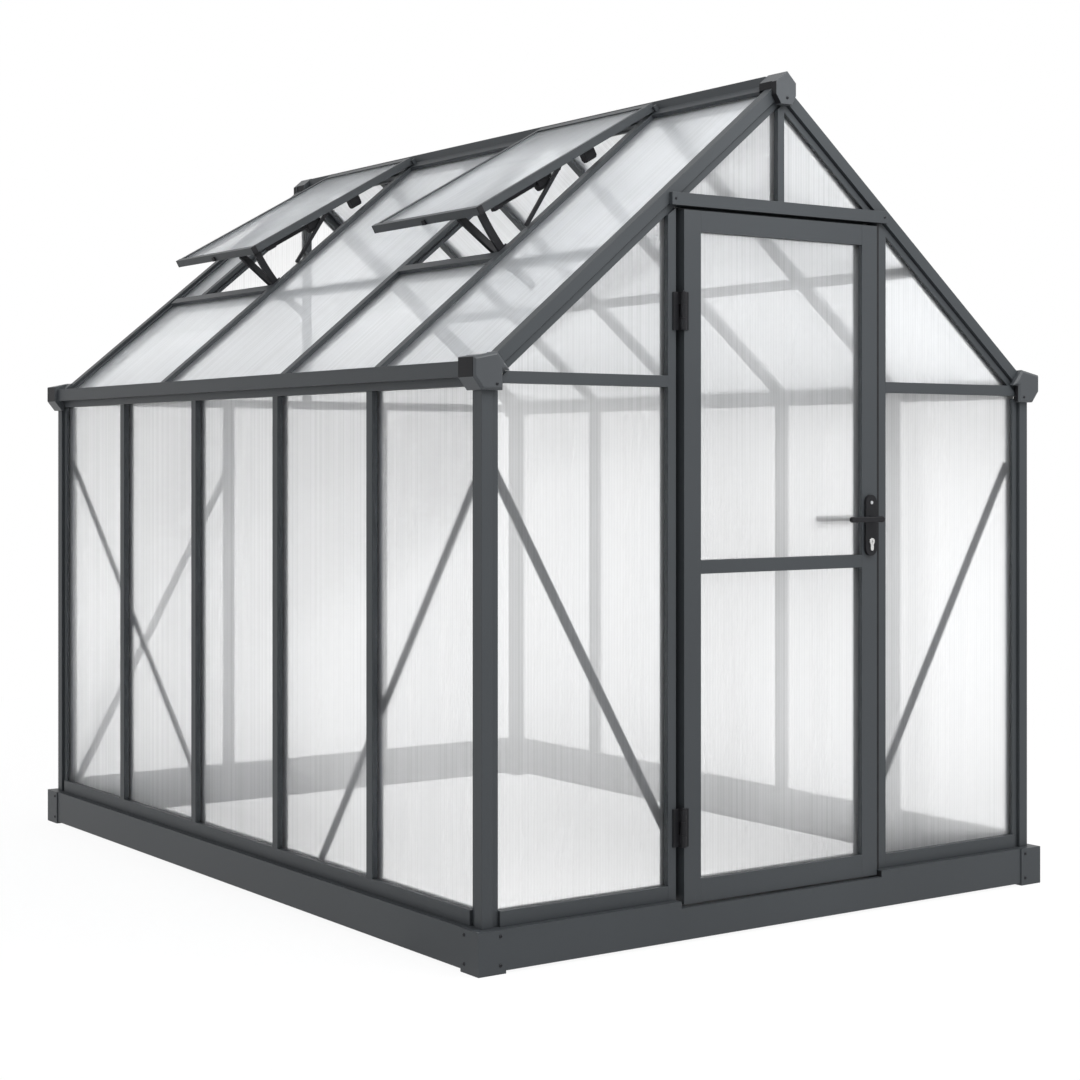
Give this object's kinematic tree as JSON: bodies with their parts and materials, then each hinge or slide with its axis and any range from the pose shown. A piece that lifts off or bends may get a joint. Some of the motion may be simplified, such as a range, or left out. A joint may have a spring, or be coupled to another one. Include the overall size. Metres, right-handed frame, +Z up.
{
  "type": "greenhouse",
  "caption": "Gabled walk-in greenhouse: dark metal frame on a low base, ribbed translucent sheets, a hinged lockable door and roof vents with openers.",
  "frame": {"origin": "on the ground, in the middle of the four anchor holes", "axes": "+Z up, X across the door gable with the hinge side at -X, +Y from the door gable to the rear gable"},
  "size_m": [1.864, 2.5595, 2.133],
  "materials": {
    "frame": "anthracite powder coat, satin",
    "black_fittings": "black moulded or coated, satin",
    "glazing": "twin-wall sheet, milky, fine upright ribs",
    "bare_aluminium": "mill finish",
    "steel": "zinc plated",
    "seal": "soft strip"
  },
  "bodies": {
    "house": {"base_boards_end": "frame", "base_boards_side": "frame", "base_corner_brackets": "frame", "base_screws": "steel", "corner_posts": "frame", "door_header": "frame", "door_posts": "frame", "door_seal": "seal", "eave_connectors": "black_fittings", "eave_gutters": "frame", "front_panels": "glazing", "gable_bars_front": "frame", "gable_bars_rear": "frame", "hinge_leaves_fixed": "black_fittings", "hinge_pins": "steel", "purlins": "frame", "rafters": "frame", "rear_panels": "glazing", "ridge_beam": "frame", "ridge_caps": "black_fittings", "roof_bars_left": "frame", "roof_bars_right": "frame", "roof_panels_left": "glazing", "roof_panels_right": "glazing", "sills": "frame", "strike_plate": "steel", "vent_brackets": "black_fittings", "vent_hinges": "black_fittings", "vent_sills": "frame", "wall_bars": "frame", "wall_braces": "bare_aluminium", "wall_panels_left": "glazing", "wall_panels_right": "glazing"},
    "door": {"door_stiles": "frame", "door_rails": "frame", "door_panels": "glazing", "hinge_leaves_door": "black_fittings", "lock_case": "steel", "handle_plates": "black_fittings", "handle_screw": "steel", "lock_cylinder": "steel"},
    "lever": {"lever_outer": "black_fittings", "lever_inner": "black_fittings"},
    "latch": {"latch_bolt": "steel"},
    "lock_plug": {"lock_plug": "steel"},
    "deadbolt": {"deadbolt": "steel"},
    "vent_front": {"vent_front_frame": "frame", "vent_front_panel": "glazing", "vent_front_arm": "black_fittings", "vent_front_cylinder": "black_fittings"},
    "vent_front_crank": {"vent_front_crank": "black_fittings"},
    "vent_front_piston": {"vent_front_piston": "steel"},
    "vent_rear": {"vent_rear_frame": "frame", "vent_rear_panel": "glazing", "vent_rear_arm": "black_fittings", "vent_rear_cylinder": "black_fittings"},
    "vent_rear_crank": {"vent_rear_crank": "black_fittings"},
    "vent_rear_piston": {"vent_rear_piston": "steel"}
  },
  "joints": [
    {"name": "door_hinge", "type": "hinge", "parent": "house", "child": "door", "pos_m": [-0.327, -1.25, 0.9], "axis": [0, 0, -1], "range_deg": [0, 110]},
    {"name": "lever_turn", "type": "hinge", "parent": "door", "child": "lever", "pos_m": [0.294, -1.228, 1.01], "axis": [0, -1, 0], "range_deg": [0, 45], "stiffness_Nm_per_rad": 0.8, "springref_deg": -34.38},
    {"name": "latch_slide", "type": "slide", "parent": "door", "child": "latch", "axis": [-1, 0, 0], "range_m": [0, 0.004]},
    {"name": "key_turn", "type": "hinge", "parent": "door", "child": "lock_plug", "pos_m": [0.294, -1.25, 0.952], "axis": [0, -1, 0], "range_deg": [0, 90]},
    {"name": "deadbolt_slide", "type": "slide", "parent": "door", "child": "deadbolt", "axis": [1, 0, 0], "range_m": [0, 0.012]},
    {"name": "vent_front_hinge", "type": "hinge", "parent": "house", "child": "vent_front", "pos_m": [-0.02179, -0.49, 2.1089], "axis": [0, 1, 0], "range_deg": [-10, 5]},
    {"name": "vent_front_crank_turn", "type": "hinge", "parent": "vent_front", "child": "vent_front_crank", "pos_m": [-0.31624, -0.72, 1.93886], "axis": [0, -1, 0], "range_deg": [-27.3, 13.7]},
    {"name": "vent_front_piston_slide", "type": "slide", "parent": "vent_front", "child": "vent_front_piston", "axis": [0.8704, 0, 0.4924], "range_m": [-0.00715, 0.00359]},
    {"name": "vent_rear_hinge", "type": "hinge", "parent": "house", "child": "vent_rear", "pos_m": [-0.02179, 0.745, 2.1089], "axis": [0, 1, 0], "range_deg": [-10, 5]},
    {"name": "vent_rear_crank_turn", "type": "hinge", "parent": "vent_rear", "child": "vent_rear_crank", "pos_m": [-0.31624, 0.515, 1.93886], "axis": [0, -1, 0], "range_deg": [-27.3, 13.7]},
    {"name": "vent_rear_piston_slide", "type": "slide", "parent": "vent_rear", "child": "vent_rear_piston", "axis": [0.8704, 0, 0.4924], "range_m": [-0.00715, 0.00359]}
  ],
  "couplings": [
    {"joint": "latch_slide", "follows": "lever_turn", "m_per_rad": 0.00509},
    {"joint": "deadbolt_slide", "follows": "key_turn", "m_per_rad": 0.007638},
    {"joint": "vent_front_crank_turn", "follows": "vent_front_hinge", "ratio": 2.72},
    {"joint": "vent_front_piston_slide", "follows": "vent_front_hinge", "m_per_rad": 0.0408},
    {"joint": "vent_rear_crank_turn", "follows": "vent_rear_hinge", "ratio": 2.72},
    {"joint": "vent_rear_piston_slide", "follows": "vent_rear_hinge", "m_per_rad": 0.0408}
  ]
}
